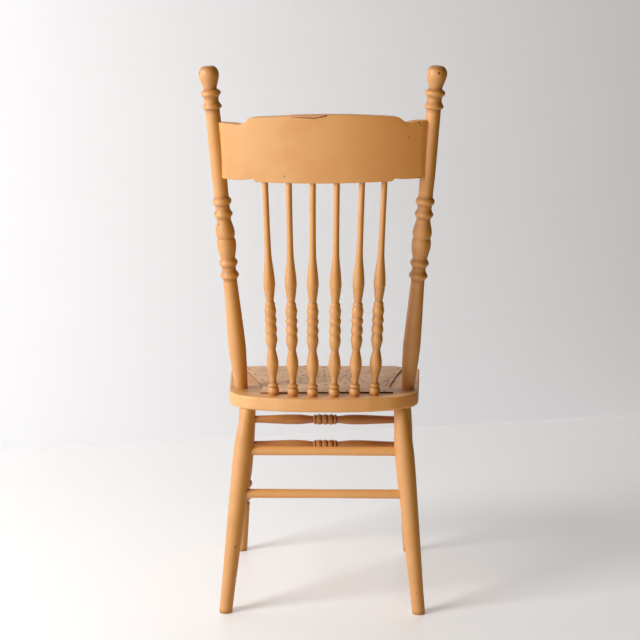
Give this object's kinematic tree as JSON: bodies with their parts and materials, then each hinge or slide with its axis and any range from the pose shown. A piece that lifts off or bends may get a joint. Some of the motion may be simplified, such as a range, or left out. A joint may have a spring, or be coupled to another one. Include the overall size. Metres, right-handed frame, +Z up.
{
  "type": "spindle back chair",
  "caption": "Wooden side chair: turned back posts, bent crest rail, turned spindles, seat frame with a perforated panel, turned legs and stretchers.",
  "frame": {"origin": "on the floor, under the middle of the chair's bounding box", "axes": "+Z up; the sitter faces -Y, so the chair's back is towards +Y; +X is the sitter's left"},
  "size_m": [0.4775, 0.4842, 1.0994],
  "materials": {
    "painted_hardwood": "satin caramel paint over turned hardwood, worn through at a few edges",
    "painted_fibre_panel": "the same paint on a thin pressed fibre panel with punched holes",
    "painted_tacks": "domed tack heads painted over with the chair",
    "steel_pins": "dull dark steel, pin ends just visible"
  },
  "bodies": {
    "root": {"back_post_left": "painted_hardwood", "back_post_right": "painted_hardwood", "crest_pin_left_lower": "steel_pins", "crest_pin_left_upper": "steel_pins", "crest_pin_right_lower": "steel_pins", "crest_pin_right_upper": "steel_pins", "crest_rail": "painted_hardwood", "front_leg_left": "painted_hardwood", "front_leg_right": "painted_hardwood", "front_stretcher_lower": "painted_hardwood", "front_stretcher_upper": "painted_hardwood", "panel_tack_01": "painted_tacks", "panel_tack_02": "painted_tacks", "panel_tack_03": "painted_tacks", "panel_tack_04": "painted_tacks", "panel_tack_05": "painted_tacks", "panel_tack_06": "painted_tacks", "panel_tack_07": "painted_tacks", "panel_tack_08": "painted_tacks", "panel_tack_09": "painted_tacks", "panel_tack_10": "painted_tacks", "panel_tack_11": "painted_tacks", "panel_tack_12": "painted_tacks", "panel_tack_13": "painted_tacks", "panel_tack_14": "painted_tacks", "panel_tack_15": "painted_tacks", "panel_tack_16": "painted_tacks", "rear_leg_left": "painted_hardwood", "rear_leg_right": "painted_hardwood", "rear_stretcher_lower": "painted_hardwood", "rear_stretcher_upper": "painted_hardwood", "seat_frame": "painted_hardwood", "seat_panel": "painted_fibre_panel", "side_stretcher_left_lower": "painted_hardwood", "side_stretcher_left_upper": "painted_hardwood", "side_stretcher_right_lower": "painted_hardwood", "side_stretcher_right_upper": "painted_hardwood", "spindle_1": "painted_hardwood", "spindle_2": "painted_hardwood", "spindle_3": "painted_hardwood", "spindle_4": "painted_hardwood", "spindle_5": "painted_hardwood", "spindle_6": "painted_hardwood"}
  },
  "joints": []
}
